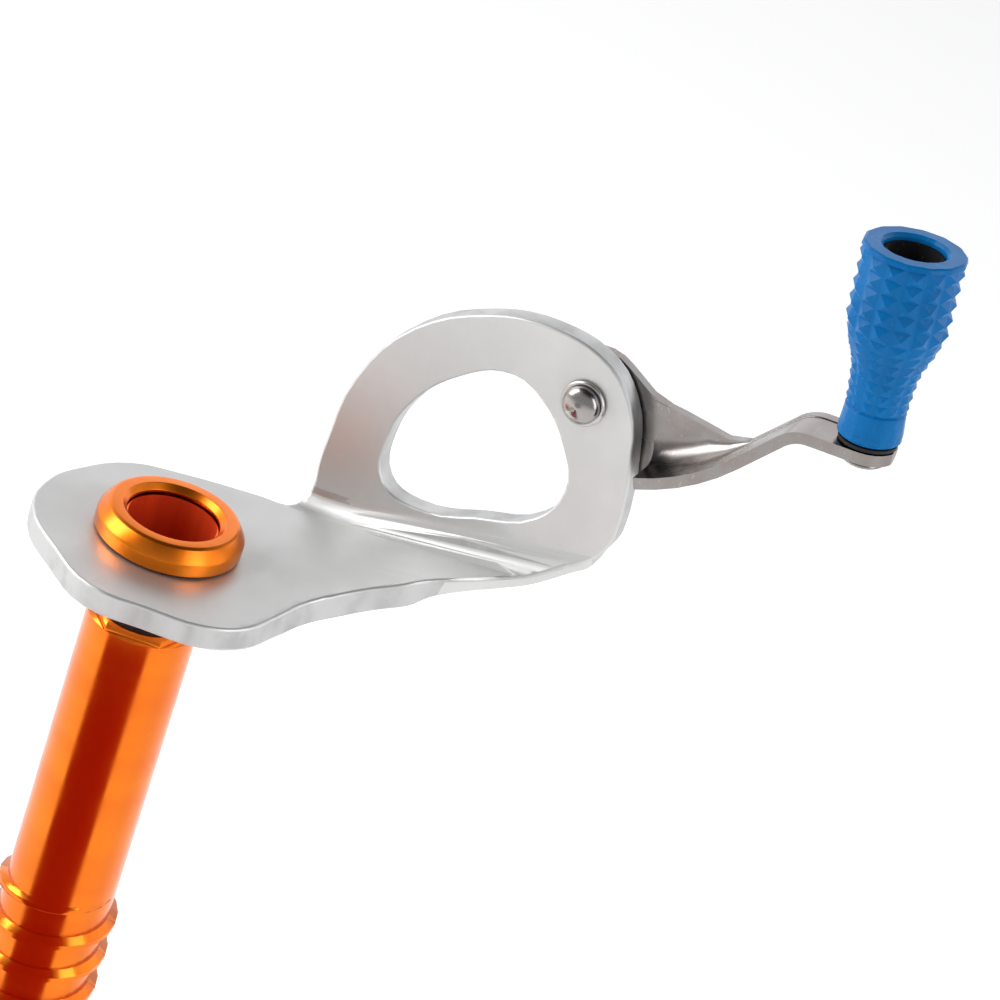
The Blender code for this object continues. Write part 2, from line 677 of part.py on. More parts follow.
def make_knob_axle(group, material):
    head_low = KNOB_LOW + KNOB_STEP + 1.2 * MM + GAP
    head = 3.4 * MM
    foot_top = -ARM_THICKNESS - GAP
    foot = 3.3 * MM
    profile = [(0.0, head_low + 1.3 * MM), (head - 0.7 * MM, head_low + 1.2 * MM),
               (head, head_low + 0.6 * MM), (head, head_low), (AXLE_RADIUS, head_low),
               (AXLE_RADIUS, foot_top), (foot, foot_top), (foot, foot_top - 0.6 * MM),
               (foot - 0.5 * MM, foot_top - 1.0 * MM), (0.0, foot_top - 1.1 * MM)]
    axle = turned("knob_axle", profile, 20, group, material)
    stand_on_seat(axle)
    return axle


def make_knob_washer(group, material):
    low = GAP
    top = GAP + KNOB_WASHER
    rim = 4.5 * MM
    profile = [(rim, top), (rim, low), (AXLE_RADIUS + GAP, low), (AXLE_RADIUS + GAP, top)]
    washer = turned("knob_washer", profile, 24, group, material)
    stand_on_seat(washer)
    return washer


# ---- assembly -----------------------------------------------------------------------------
def build():
    clear_scene()
    group = new_collection("ice_screw")
    cutters = new_collection("cutters")
    orange = new_material("orange_anodised", (0.91, 0.23, 0.02), 0.32, 0.9)
    head_orange = new_material("orange_head", (0.93, 0.26, 0.02), 0.28, 0.9)
    silver = new_material("satin_aluminium", (0.62, 0.62, 0.60), 0.42, 0.9)
    tip_steel = new_material("tip_steel", (0.45, 0.44, 0.43), 0.35, 1.0)
    arm_steel = new_material("arm_steel", (0.36, 0.34, 0.33), 0.33, 1.0)
    rivet_steel = new_material("rivet_steel", (0.60, 0.58, 0.57), 0.22, 1.0)
    washer_steel = new_material("washer_steel", (0.55, 0.54, 0.53), 0.30, 1.0)
    axle_steel = new_material("axle_steel", (0.40, 0.39, 0.38), 0.35, 1.0)
    collar_black = new_material("collar_black", (0.02, 0.02, 0.02), 0.55, 0.0)
    liner_black = new_material("liner_black", (0.015, 0.013, 0.016), 0.60, 0.0)
    washer_black = new_material("washer_black", (0.02, 0.018, 0.02), 0.50, 0.0)
    blue = new_material("blue_grip", (0.0, 0.16, 0.50), 0.38, 0.0)

    make_tube(group, cutters, orange)
    make_tip(group, cutters, tip_steel)
    make_head_ring(group, head_orange)
    make_collar(group, collar_black)
    make_hanger(group, silver)
    make_pivot_washer(group, washer_steel)
    make_pivot_rivet(group, rivet_steel)
    make_arm(group, cutters, arm_steel)
    make_knob_washer(group, washer_black)
    make_knob_liner(group, liner_black)
    make_knob_grip(group, blue)
    make_knob_axle(group, axle_steel)


build()
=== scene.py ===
"""Looks of the ice screw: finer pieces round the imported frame, their finishes, a pale stage and a camera."""
import json
import math
import bmesh
import bpy
from mathutils import Matrix, Vector


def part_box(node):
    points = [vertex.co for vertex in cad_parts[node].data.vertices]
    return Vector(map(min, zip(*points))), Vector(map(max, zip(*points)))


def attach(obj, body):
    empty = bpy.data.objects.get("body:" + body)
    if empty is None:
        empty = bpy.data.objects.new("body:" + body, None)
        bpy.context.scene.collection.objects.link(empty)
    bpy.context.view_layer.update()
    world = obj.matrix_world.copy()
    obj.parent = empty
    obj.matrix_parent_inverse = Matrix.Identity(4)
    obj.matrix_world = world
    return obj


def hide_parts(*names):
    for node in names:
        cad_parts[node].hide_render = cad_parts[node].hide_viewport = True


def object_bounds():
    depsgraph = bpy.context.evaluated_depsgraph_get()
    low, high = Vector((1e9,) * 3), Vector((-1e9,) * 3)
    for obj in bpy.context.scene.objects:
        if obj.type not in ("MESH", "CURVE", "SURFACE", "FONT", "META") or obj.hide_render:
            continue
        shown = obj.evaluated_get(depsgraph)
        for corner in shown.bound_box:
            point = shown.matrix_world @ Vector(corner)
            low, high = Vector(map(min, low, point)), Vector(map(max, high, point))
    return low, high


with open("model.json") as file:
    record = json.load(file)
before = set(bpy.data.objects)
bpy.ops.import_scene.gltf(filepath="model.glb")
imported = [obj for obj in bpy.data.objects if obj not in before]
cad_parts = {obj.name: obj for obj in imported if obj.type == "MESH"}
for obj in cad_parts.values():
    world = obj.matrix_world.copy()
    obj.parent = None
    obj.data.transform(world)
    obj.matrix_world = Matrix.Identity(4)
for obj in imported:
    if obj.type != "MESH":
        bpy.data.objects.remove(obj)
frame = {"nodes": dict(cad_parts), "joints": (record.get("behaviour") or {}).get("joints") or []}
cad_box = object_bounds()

MM = 0.001
FULL_TURN = 2.0 * math.pi
QUARTER_TURN = math.pi / 2


# ---- node helpers --------------------------------------------------------------------------
# Sockets of a Mix node set to colours, by number, because several of them share a name.
MIX_FACTOR, MIX_FIRST, MIX_SECOND = 0, 6, 7
MIX_RESULT = 2


def new_node(tree, kind, **settings):
    """A node of one kind, with settings of its own such as its operation."""
    node = tree.nodes.new(kind)
    for key, value in settings.items():
        setattr(node, key, value)
    return node


def feed(socket, value):
    """Links another node's socket into this one, or sets this one to a plain value."""
    if isinstance(value, bpy.types.NodeSocket):
        socket.id_data.links.new(value, socket)
    else:
        socket.default_value = value


def set_inputs(node, **values):
    """Plain values or incoming links by socket name, with spaces written as underscores."""
    for key, value in values.items():
        feed(node.inputs[key.replace("_", " ")], value)
    return node


def noise(tree, vector, scale, detail=3.0, roughness=0.5):
    node = new_node(tree, "ShaderNodeTexNoise")
    set_inputs(node, Vector=vector, Scale=scale, Detail=detail, Roughness=roughness)
    return node.outputs["Fac"]


def mapped(tree, vector, scale=(1.0, 1.0, 1.0), turn=(0.0, 0.0, 0.0), shift=(0.0, 0.0, 0.0)):
    node = new_node(tree, "ShaderNodeMapping")
    set_inputs(node, Vector=vector, Scale=scale, Rotation=turn, Location=shift)
    return node.outputs["Vector"]


def span(tree, value, low, high, out_low=0.0, out_high=1.0):
    """Carries a value from one range to another with soft ends."""
    node = new_node(tree, "ShaderNodeMapRange", interpolation_type="SMOOTHSTEP")
    set_inputs(node, Value=value, From_Min=low, From_Max=high, To_Min=out_low, To_Max=out_high)
    return node.outputs["Result"]


def maths(tree, operation, first, second):
    node = new_node(tree, "ShaderNodeMath", operation=operation)
    feed(node.inputs[0], first)
    feed(node.inputs[1], second)
    return node.outputs["Value"]


def blend_colour(tree, factor, first, second):
    node = new_node(tree, "ShaderNodeMix", data_type="RGBA")
    feed(node.inputs[MIX_FACTOR], factor)
    feed(node.inputs[MIX_FIRST], first)
    feed(node.inputs[MIX_SECOND], second)
    return node.outputs[MIX_RESULT]


# ---- groups shared by the finishes -----------------------------------------------------------
FLOAT = "NodeSocketFloat"
VECTOR = "NodeSocketVector"


def new_group(name, inputs, outputs):
    """An empty group with named sockets, and the sockets to read from and write to inside it."""
    tree = bpy.data.node_groups.new(name, "ShaderNodeTree")
    for label, kind, default in inputs:
        socket = tree.interface.new_socket(label, in_out="INPUT", socket_type=kind)
        if default is not None:
            socket.default_value = default
    for label, kind in outputs:
        tree.interface.new_socket(label, in_out="OUTPUT", socket_type=kind)
    start = tree.nodes.new("NodeGroupInput")
    end = tree.nodes.new("NodeGroupOutput")
    return tree, start.outputs, end.inputs


def satin_grain_group():
    """Blasted metal: fine even grain, with faint clouds where hands and packing have rubbed it."""
    tree, given, result = new_group(
        "satin_grain",
        [("Place", VECTOR, None), ("Grain", FLOAT, 5000.0), ("Cloud", FLOAT, 60.0)],
        [("Height", FLOAT), ("Clouds", FLOAT)])
    cloud = noise(tree, given["Place"], given["Cloud"], 4.0, 0.55)
    feed(result["Height"], noise(tree, given["Place"], given["Grain"], 2.0, 0.6))
    feed(result["Clouds"], span(tree, cloud, 0.3, 0.7))
    return tree


def turning_lines_group():
    """Fine lines left by a lathe or a brush: noise pulled long where Pull is small."""
    tree, given, result = new_group(
        "turning_lines",
        [("Place", VECTOR, None), ("Pull", VECTOR, (1.0, 1.0, 1.0)), ("Fineness", FLOAT, 900.0)],
        [("Height", FLOAT), ("Bands", FLOAT)])
    stretch = new_node(tree, "ShaderNodeVectorMath", operation="MULTIPLY")
    feed(stretch.inputs[0], given["Place"])
    feed(stretch.inputs[1], given["Pull"])
    broad_scale = maths(tree, "MULTIPLY", given["Fineness"], 0.13)
    broad = noise(tree, stretch.outputs["Vector"], broad_scale, 2.0)
    feed(result["Height"], noise(tree, stretch.outputs["Vector"], given["Fineness"], 3.0, 0.65))
    feed(result["Bands"], span(tree, broad, 0.32, 0.68))
    return tree


def hairlines_group():
    """A few thin hairline scratches in three directions, as a mask."""
    tree, given, result = new_group(
        "hairlines",
        [("Place", VECTOR, None), ("Amount", FLOAT, 0.5)],
        [("Mask", FLOAT)])
    turns = ((0.3, 0.2, 0.9), (1.1, -0.4, 0.2), (-0.5, 0.9, 1.7))
    thin_and_long = (2600.0, 60.0, 900.0)
    lines = []
    for index, turn in enumerate(turns):
        place = mapped(tree, given["Place"], thin_and_long, turn, (index * 0.37, 0.0, 0.0))
        lines.append(span(tree, noise(tree, place, 1.0, 1.0, 0.4), 0.70, 0.76))
    total = maths(tree, "MAXIMUM", maths(tree, "MAXIMUM", lines[0], lines[1]), lines[2])
    feed(result["Mask"], maths(tree, "MULTIPLY", total, given["Amount"]))
    return tree


def moulded_skin_group():
    """Moulded plastic: a soft orange-peel skin, fine pores and a slow drift of tone."""
    tree, given, result = new_group(
        "moulded_skin",
        [("Place", VECTOR, None), ("Peel", FLOAT, 900.0)],
        [("Height", FLOAT), ("Drift", FLOAT)])
    peel = noise(tree, given["Place"], given["Peel"], 2.0)
    pores_scale = maths(tree, "MULTIPLY", given["Peel"], 6.0)
    pores = span(tree, noise(tree, given["Place"], pores_scale, 1.0), 0.66, 0.8)
    drift = noise(tree, given["Place"], maths(tree, "MULTIPLY", given["Peel"], 0.16), 3.0)
    feed(result["Height"], maths(tree, "SUBTRACT", peel, maths(tree, "MULTIPLY", pores, 0.5)))
    feed(result["Drift"], span(tree, drift, 0.3, 0.7))
    return tree


SATIN_GRAIN = satin_grain_group()
TURNING_LINES = turning_lines_group()
HAIRLINES = hairlines_group()
MOULDED_SKIN = moulded_skin_group()


def place_group(tree, group, **values):
    node = new_node(tree, "ShaderNodeGroup", node_tree=group)
    return set_inputs(node, **values).outputs


# ---- finishes ------------------------------------------------------------------------------
def start_finish(name):
    material = bpy.data.materials.new(name)
    material.use_nodes = True
    tree = material.node_tree
    shader = tree.nodes["Principled BSDF"]
    place = tree.nodes.new("ShaderNodeTexCoord").outputs["Object"]
    return material, tree, shader, place


def set_bump(tree, shader, height, depth):
    bump = new_node(tree, "ShaderNodeBump")
    set_inputs(bump, Height=height, Distance=depth)
    feed(shader.inputs["Normal"], bump.outputs["Normal"])


def anodised(name, colour, deep, roughness, pull, fineness, metallic=1.0):
    """Dyed anodising over turned aluminium: clear skin, faint lathe lines, tiny pale rub marks."""
    rubbed_dye = (0.95, 0.45, 0.16, 1.0)
    material, tree, shader, place = start_finish(name)
    lines = place_group(tree, TURNING_LINES, Place=place, Pull=pull, Fineness=fineness)
    rub = place_group(tree, HAIRLINES, Place=place, Amount=0.05)
    tone = blend_colour(tree, lines["Bands"], (*deep, 1.0), (*colour, 1.0))
    worn = blend_colour(tree, rub["Mask"], tone, rubbed_dye)
    sheen = span(tree, lines["Bands"], 0.0, 1.0, roughness + 0.03, roughness - 0.03)
    rough = maths(tree, "ADD", sheen, maths(tree, "MULTIPLY", rub["Mask"], 0.25))
    set_inputs(shader, Base_Color=worn, Roughness=rough, Metallic=metallic, Coat_Weight=0.2,
               Coat_Roughness=0.15, Coat_IOR=1.5)
    set_bump(tree, shader, lines["Height"], 0.004 * MM)
    return material


def satin_aluminium(name, colour, roughness, grain):
    """Blasted plate: an even grain, slightly duller clouds, and hairlines down to bright metal."""
    bare_metal = (0.86, 0.86, 0.85, 1.0)
    dull = tuple(part * 0.93 for part in colour)
    material, tree, shader, place = start_finish(name)
    skin = place_group(tree, SATIN_GRAIN, Place=place, Grain=grain, Cloud=55.0)
    rub = place_group(tree, HAIRLINES, Place=place, Amount=0.08)
    tone = blend_colour(tree, skin["Clouds"], (*dull, 1.0), (*colour, 1.0))
    lit = blend_colour(tree, rub["Mask"], tone, bare_metal)
    rough = span(tree, skin["Clouds"], 0.0, 1.0, roughness + 0.03, roughness - 0.03)
    sharper = maths(tree, "SUBTRACT", rough, maths(tree, "MULTIPLY", rub["Mask"], 0.12))
    set_inputs(shader, Base_Color=lit, Roughness=sharper, Metallic=0.85)
    set_bump(tree, shader, skin["Height"], 0.012 * MM)
    return material


def sheared_edge(name, colour, roughness):
    """The cut side of the plate: short streaks through the thickness, and blotches of lustre."""
    dark = tuple(part * 0.82 for part in colour)
    material, tree, shader, place = start_finish(name)
    lines = place_group(tree, TURNING_LINES, Place=place, Pull=(1.0, 1.0, 0.12), Fineness=1500.0)
    skin = place_group(tree, SATIN_GRAIN, Place=place, Grain=3000.0, Cloud=420.0)
    streaked = blend_colour(tree, lines["Bands"], (*dark, 1.0), (*colour, 1.0))
    tone = blend_colour(tree, skin["Clouds"], streaked, (*colour, 1.0))
    rough = span(tree, lines["Bands"], 0.0, 1.0, roughness + 0.08, roughness - 0.06)
    set_inputs(shader, Base_Color=tone, Roughness=rough, Metallic=0.9)
    set_bump(tree, shader, lines["Height"], 0.02 * MM)
    return material


def rolled_steel(name, colour, roughness, pull=(0.1, 1.0, 1.0), fineness=1400.0, depth=0.01 * MM):
    """Pressed stainless sheet: rolling lines, a warm mottle and bright hairlines."""
    bright_steel = (0.78, 0.76, 0.74, 1.0)
    warm = (colour[0] * 0.92, colour[1] * 0.86, colour[2] * 0.84)
    material, tree, shader, place = start_finish(name)
    lines = place_group(tree, TURNING_LINES, Place=place, Pull=pull, Fineness=fineness)
    skin = place_group(tree, SATIN_GRAIN, Place=place, Grain=6000.0, Cloud=260.0)
    rub = place_group(tree, HAIRLINES, Place=place, Amount=0.15)
    mottled = blend_colour(tree, skin["Clouds"], (*warm, 1.0), (*colour, 1.0))
    lit = blend_colour(tree, rub["Mask"], mottled, bright_steel)
    rough = span(tree, lines["Bands"], 0.0, 1.0, roughness + 0.05, roughness - 0.04)
    set_inputs(shader, Base_Color=lit, Roughness=rough, Metallic=1.0)
    set_bump(tree, shader, lines["Height"], depth)
    return material


def moulded_plastic(name, colour, deep, roughness, specular=0.3):
    """Moulded grip or trim: orange-peel skin, a drifting tone and pale scuffs."""
    scuff = tuple(0.3 + part * 0.7 for part in colour)
    material, tree, shader, place = start_finish(name)
    skin = place_group(tree, MOULDED_SKIN, Place=place, Peel=900.0)
    rub = place_group(tree, HAIRLINES, Place=place, Amount=0.05)
    tone = blend_colour(tree, skin["Drift"], (*deep, 1.0), (*colour, 1.0))
    scuffed = blend_colour(tree, rub["Mask"], tone, (*scuff, 1.0))
    rough = span(tree, skin["Drift"], 0.0, 1.0, roughness + 0.05, roughness - 0.03)
    set_inputs(shader, Base_Color=scuffed, Roughness=rough, Specular_IOR_Level=specular)
    set_bump(tree, shader, skin["Height"], 0.015 * MM)
    return material


# Pull for lines that run round the upright tube, along its bore, round its tip and round the rivet.
ROUND_TUBE = (0.05, 0.05, 1.0)
ALONG_BORE = (1.0, 1.0, 0.04)
ROUND_TIP = (0.06, 0.06, 1.0)
ROUND_RIVET = (1.0, 0.1, 1.0)

FINISH = {
    "tube": anodised("orange_tube", (0.90, 0.205, 0.010), (0.86, 0.170, 0.008), 0.20,
                     ROUND_TUBE, 900.0),
    # The bore's darker, redder colour is painted shade inside the tube, not a dye of its own.
    "bore": anodised("bore_painted_shade", (0.86, 0.085, 0.016), (0.68, 0.055, 0.010), 0.42,
                     ALONG_BORE, 1600.0, 0.35),
    "head_ring": anodised("orange_ring", (0.92, 0.235, 0.010), (0.88, 0.200, 0.008), 0.30,
                          ROUND_TUBE, 1300.0),
    "hanger": satin_aluminium("satin_plate", (0.70, 0.70, 0.69), 0.46, 5200.0),
    "rim": sheared_edge("plate_rim", (0.58, 0.58, 0.575), 0.42),
    "cutting_tip": rolled_steel("ground_tip", (0.50, 0.49, 0.48), 0.28, ROUND_TIP),
    # The collar's near-black colour is painted shadow: it stands for the shaded gap between the hex neck and
    # the hanger.
    "neck_collar": moulded_plastic("collar_black", (0.012, 0.012, 0.012), (0.008, 0.008, 0.008), 0.5),
    "pivot_washer": rolled_steel("washer_steel", (0.56, 0.55, 0.54), 0.26, ROUND_RIVET),
    "pivot_rivet": rolled_steel("rivet_steel", (0.38, 0.37, 0.36), 0.22, ROUND_RIVET, 900.0,
                                0.004 * MM),
    "crank_arm": rolled_steel("pressed_arm", (0.30, 0.285, 0.275), 0.24),
    "knob_axle": rolled_steel("axle_steel", (0.30, 0.29, 0.28), 0.3),
    "knob_washer": moulded_plastic("washer_black", (0.012, 0.011, 0.012), (0.008, 0.008, 0.008), 0.42),
    "knob_liner": moulded_plastic("liner_black", (0.003, 0.003, 0.004), (0.002, 0.002, 0.003), 0.7,
                                  0.1),
    "knob_grip": moulded_plastic("blue_grip", (0.0, 0.150, 0.43), (0.0, 0.128, 0.37), 0.30, 0.14),
}


# ---- mesh helpers --------------------------------------------------------------------------
MERGE_WITHIN = 0.002 * MM
DEGENERATE = 0.004 * MM
SLIVER_SHARE = 0.0004    # of the area of its broadest neighbour: a smaller face follows that one
UPRIGHT_WITHIN = 0.05    # the most that an upright wall's normal rises or falls
RADIAL_WITHIN = 0.985    # cosine between a wall's normal and its radius, under which it is a flat
FOLDED_UNDER = -0.7      # cosine between two facets of one surface that lie folded over each other


def finish_piece(name, shape, body, node, sharp, finishes=None):
    """Turns a bmesh into a piece that rides on a body and stands for a node of the frame."""
    bmesh.ops.recalc_face_normals(shape, faces=shape.faces)
    mesh = bpy.data.meshes.new(name)
    shape.to_mesh(mesh)
    shape.free()
    for finish in finishes or [FINISH[node]]:
        mesh.materials.append(finish)
    mesh.shade_smooth()
    mesh.set_sharp_from_angle(angle=math.radians(sharp))
    piece = bpy.data.objects.new(name, mesh)
    bpy.context.scene.collection.objects.link(piece)
    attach(piece, body)
    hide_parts(node)
    return piece


def soften_edges(piece, width):
    bevel = piece.modifiers.new("softened", "BEVEL")
    bevel.width = width
    bevel.segments = 2
    bevel.limit_method = "ANGLE"
    bevel.angle_limit = math.radians(20.0)
    bevel.harden_normals = True


def settle_normals(piece, sharp):
    """Corner normals weighted by area, so broad faces stay flat and slivers beside them don't show."""
    mesh = piece.data
    limit = math.cos(math.radians(sharp))
    around = [[] for _ in mesh.vertices]
    for face in mesh.polygons:
        for vertex in face.vertices:
            around[vertex].append(face)
    normals = []
    for face in mesh.polygons:
        for vertex in face.vertices:
            broadest = max(around[vertex], key=lambda other: other.area)
            sliver = face.area < broadest.area * SLIVER_SHARE
            leader = broadest.normal if sliver else face.normal
            total = Vector((0.0, 0.0, 0.0))
            for other in around[vertex]:
                if other.normal.dot(leader) > limit:
                    total += other.normal * other.area
            normals.append(total.normalized() if total.length > 0.0 else face.normal)
    mesh.normals_split_custom_set(normals)


def round_normals(piece):
    """Upright round walls get their true radial normals, so the cuts into them leave no streaks."""
    mesh = piece.data
    normals = [corner.vector.copy() for corner in mesh.corner_normals]
    for face in mesh.polygons:
        if abs(face.normal.z) > UPRIGHT_WITHIN:
            continue
        for index in face.loop_indices:
            out = mesh.vertices[mesh.loops[index].vertex_index].co.xy.normalized()
            facing = face.normal.xy.dot(out)
            if abs(facing) > RADIAL_WITHIN:
                side = math.copysign(1.0, facing)
                normals[index] = Vector((out.x * side, out.y * side, 0.0))
    mesh.normals_split_custom_set(normals)


def merged_copy(node):
    """The node's mesh with its loose triangles joined up, ready to be reworked."""
    shape = bmesh.new()
    shape.from_mesh(frame["nodes"][node].data)
    bmesh.ops.remove_doubles(shape, verts=shape.verts, dist=MERGE_WITHIN)
    bmesh.ops.dissolve_degenerate(shape, dist=DEGENERATE, edges=shape.edges)
    return shape


def unfold(shape):
    """Joins facets that lie folded over a neighbour in the same surface to that neighbour."""
    shape.normal_update()
    folded = [edge for edge in shape.edges if len(edge.link_faces) == 2
              and edge.link_faces[0].normal.dot(edge.link_faces[1].normal) < FOLDED_UNDER]
    bmesh.ops.dissolve_edges(shape, edges=folded, use_verts=False)
    shape.normal_update()


def join_level_facets(shape, degrees):
    """Makes one face of neighbours whose normals differ by less than an angle."""
    bmesh.ops.dissolve_limit(shape, angle_limit=math.radians(degrees), verts=shape.verts,
                             edges=shape.edges)


def spun(profile, segments):
    """A closed profile of (radius, height) in millimetres, turned once round the z axis."""
    shape = bmesh.new()
    points = [shape.verts.new((radius * MM, 0.0, height * MM)) for radius, height in profile]
    edges = [shape.edges.new(pair) for pair in zip(points, points[1:] + points[:1])]
    bmesh.ops.spin(shape, geom=points + edges, axis=(0, 0, 1), cent=(0, 0, 0), angle=FULL_TURN,
                   steps=segments, use_merge=True, use_duplicate=False)
    bmesh.ops.remove_doubles(shape, verts=shape.verts, dist=0.001 * MM)
    return shape


# ---- places of the knob and the pivot, from the frame --------------------------------------
joints = {joint["name"]: joint for joint in frame["joints"]}
PIVOT = Vector(joints["crank_fold"]["pos_m"])
KNOB = Vector(joints["knob_spin"]["pos_m"])
KNOB_AXIS = Vector(joints["knob_spin"]["axis"]).normalized()
KNOB_TURN = Vector((0, 0, 1)).rotation_difference(KNOB_AXIS).to_matrix().to_4x4()
TO_KNOB = Matrix.Translation(KNOB) @ KNOB_TURN


# ---- knob grip: the moulded pyramids with softened edges and a finely round bore -------------
BORE_REACH = 5.35 * MM     # every ring of the grip's bore lies inside this radius
RING_WITHIN = 0.01 * MM    # the most that the two ends of a ring's edge differ in height or radius
PYRAMID_EDGE = 0.16 * MM


def is_ring_edge(edge):
    """Whether an edge of a mesh on the knob's own axis runs round that axis inside the bore."""
    first, second = (vert.co for vert in edge.verts)
    level = abs(first.z - second.z) < RING_WITHIN
    even = abs(first.xy.length - second.xy.length) < RING_WITHIN
    return level and even and first.xy.length < BORE_REACH


def round_bore(shape):
    """Divides the bore's coarse rings and puts their new points back on the circle."""
    radii = {edge: edge.verts[0].co.xy.length for edge in shape.edges if is_ring_edge(edge)}
    for edge, radius in radii.items():
        made = bmesh.ops.subdivide_edges(shape, edges=[edge], cuts=2)
        for part in made["geom_inner"]:
            if isinstance(part, bmesh.types.BMVert):
                part.co.xy = part.co.xy.normalized() * radius


def make_knob_grip():
    shape = merged_copy("knob_grip")
    bmesh.ops.transform(shape, matrix=TO_KNOB.inverted(), verts=shape.verts)
    join_level_facets(shape, 0.6)
    round_bore(shape)
    bmesh.ops.transform(shape, matrix=TO_KNOB, verts=shape.verts)
    soften_edges(finish_piece("knob_grip_moulded", shape, "knob", "knob_grip", 25.0), PYRAMID_EDGE)


# ---- hanger: satin faces, and a sheared rim all round the plate and its holes -----------------
EAR_FRONT = 27.0 * MM      # the ear lies behind this y and above this z
EAR_FOOT = 8.0 * MM
RIM_FACING = 0.3           # a face that turns less than this to the plate's broad side is on its rim


def make_hanger_plate():
    shape = merged_copy("hanger")
    unfold(shape)
    join_level_facets(shape, 0.5)
    bmesh.ops.recalc_face_normals(shape, faces=shape.faces)
    for face in shape.faces:
        middle = face.calc_center_median()
        on_ear = middle.y > EAR_FRONT and middle.z > EAR_FOOT
        facing = abs(face.normal.y) if on_ear else abs(face.normal.z)
        face.material_index = 1 if facing < RIM_FACING else 0
    piece = finish_piece("hanger_plate", shape, "screw", "hanger", 50.0,
                         [FINISH["hanger"], FINISH["rim"]])
    settle_normals(piece, 50.0)


# ---- tube: bright outside, duller in its bore, whose colour is painted darker and redder as shade ---
BORE_WALL = 7.1 * MM       # the bore and its mouth lie inside this radius


def make_tube():
    shape = merged_copy("tube")
    bmesh.ops.recalc_face_normals(shape, faces=shape.faces)
    for face in shape.faces:
        middle = face.calc_center_median()
        inward = face.normal.xy.dot(middle.xy) < 0.0
        # Faces in the bore take the bore finish, whose darker, redder colour is painted shade.
        face.material_index = 1 if inward and middle.xy.length < BORE_WALL else 0
    round_normals(finish_piece("tube_drawn", shape, "screw", "tube", 30.0,
                               [FINISH["tube"], FINISH["bore"]]))


# ---- pivot rivet: sizes in millimetres, as its profile is -------------------------------------
DOME_RADIUS = 3.05
DOME_SEAT = 2.0            # from the dome's top down to its edge
DOME_RISE = 1.82
DOME_FULLNESS = 0.9        # under 1 the dome is fuller than an ellipse
DOME_STEPS = 14
NIPPLE_RISE = 0.18
NIPPLE_RADIUS = 0.55
SHANK_RADIUS = 2.3
REAR_HEAD_RADIUS = 3.6
REAR_HEAD_TOP = 1.3        # heights above the rear head's flat end
REAR_HEAD_EDGE = 0.6
REAR_CHAMFER_TOP = 0.1
REAR_CHAMFER_RADIUS = 3.1


def make_rivet():
    """Polished dome with a faint nipple at its middle, the shank, and the flat head behind the arm."""
    low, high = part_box("pivot_rivet")
    dome_edge = (PIVOT.y - low[1]) / MM - DOME_SEAT
    rear = (PIVOT.y - high[1]) / MM
    profile = []
    for step in range(DOME_STEPS + 1):
        angle = QUARTER_TURN * step / DOME_STEPS
        radius = DOME_RADIUS * math.sin(angle)
        nipple = NIPPLE_RISE * math.exp(-(radius / NIPPLE_RADIUS) ** 2)
        profile.append((radius, dome_edge + DOME_RISE * math.cos(angle) ** DOME_FULLNESS + nipple))
    profile += [(SHANK_RADIUS, dome_edge), (SHANK_RADIUS, rear + REAR_HEAD_TOP),
                (REAR_HEAD_RADIUS, rear + REAR_HEAD_TOP), (REAR_HEAD_RADIUS, rear + REAR_HEAD_EDGE),
                (REAR_CHAMFER_RADIUS, rear + REAR_CHAMFER_TOP), (0.0, rear)]
    shape = spun(profile, 72)
    face_front = Matrix.Rotation(QUARTER_TURN, 3, "X")
    bmesh.ops.rotate(shape, cent=(0, 0, 0), matrix=face_front, verts=shape.verts)
    bmesh.ops.translate(shape, verts=shape.verts, vec=PIVOT)
    finish_piece("pivot_rivet_domed", shape, "screw", "pivot_rivet", 40.0)


# ---- crank arm, with a web in the corner between its eye plate and its channel ----------------
WEB_OUTLINE = ((55.5, 32.5), (57.5, 32.4), (59.5, 33.6), (62.5, 36.0), (61.6, 42.0), (57.0, 42.0))
WEB_FRONT = 32.45 * MM     # the outline is in (x, z) millimetres, at this y
WEB_THICKNESS = 1.6 * MM


def make_arm():
    """The pressed arm, and a web that closes the corner behind the ear's edge."""
    shape = merged_copy("crank_arm")
    unfold(shape)
    join_level_facets(shape, 1.0)
    web = [shape.verts.new((x * MM, WEB_FRONT, z * MM)) for x, z in WEB_OUTLINE]
    grown = bmesh.ops.extrude_face_region(shape, geom=[shape.faces.new(web)])
    moved = [part for part in grown["geom"] if isinstance(part, bmesh.types.BMVert)]
    bmesh.ops.translate(shape, verts=moved, vec=(0.0, WEB_THICKNESS, 0.0))
    settle_normals(finish_piece("crank_arm_pressed", shape, "crank", "crank_arm", 35.0), 35.0)


# ---- the other pieces ----------------------------------------------------------------------
RING_EDGE = 0.07 * MM


def make_smooth_copy(name, node, body, sharp):
    return finish_piece(name, merged_copy(node), body, node, sharp)


make_knob_grip()
make_hanger_plate()
make_tube()
make_arm()
soften_edges(make_smooth_copy("head_ring_turned", "head_ring", "screw", 22.0), RING_EDGE)
make_smooth_copy("cutting_tip_ground", "cutting_tip", "screw", 30.0)
# The black collar is painted shadow in the gap under the hanger.
make_smooth_copy("neck_collar_black", "neck_collar", "screw", 30.0)
make_smooth_copy("pivot_washer_bright", "pivot_washer", "screw", 30.0)
make_rivet()
make_smooth_copy("knob_axle_turned", "knob_axle", "crank", 30.0)
make_smooth_copy("knob_washer_black", "knob_washer", "crank", 30.0)
make_smooth_copy("knob_liner_black", "knob_liner", "knob", 30.0)


